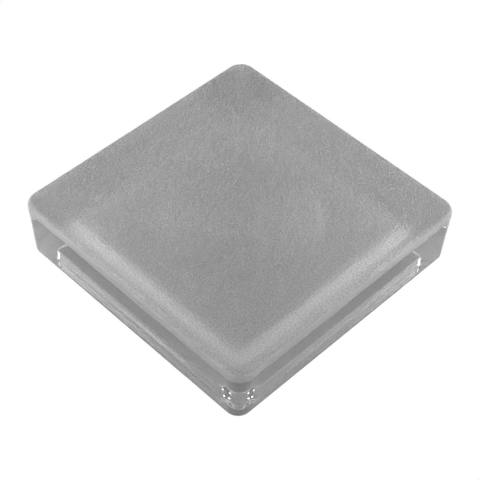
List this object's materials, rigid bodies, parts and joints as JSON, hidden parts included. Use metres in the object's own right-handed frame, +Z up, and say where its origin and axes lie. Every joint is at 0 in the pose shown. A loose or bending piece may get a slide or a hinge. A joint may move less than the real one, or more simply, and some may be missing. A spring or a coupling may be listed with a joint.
{
  "type": "glass block",
  "caption": "Solid pressed-glass paving block, square with rounded corners, satin walking face, clear sides and a shallow rippled recess underneath.",
  "frame": {"origin": "centre of the underside, in the plane of the flat rim that the block rests on", "axes": "+Z up out of the satin walking face; +X and +Y square to the sides"},
  "size_m": [0.19, 0.19, 0.042],
  "materials": {
    "glass": "pressed clear glass, satin-blasted on the upper face and its rounded edge"
  },
  "bodies": {
    "root": {"glass_block": "glass"}
  },
  "joints": []
}
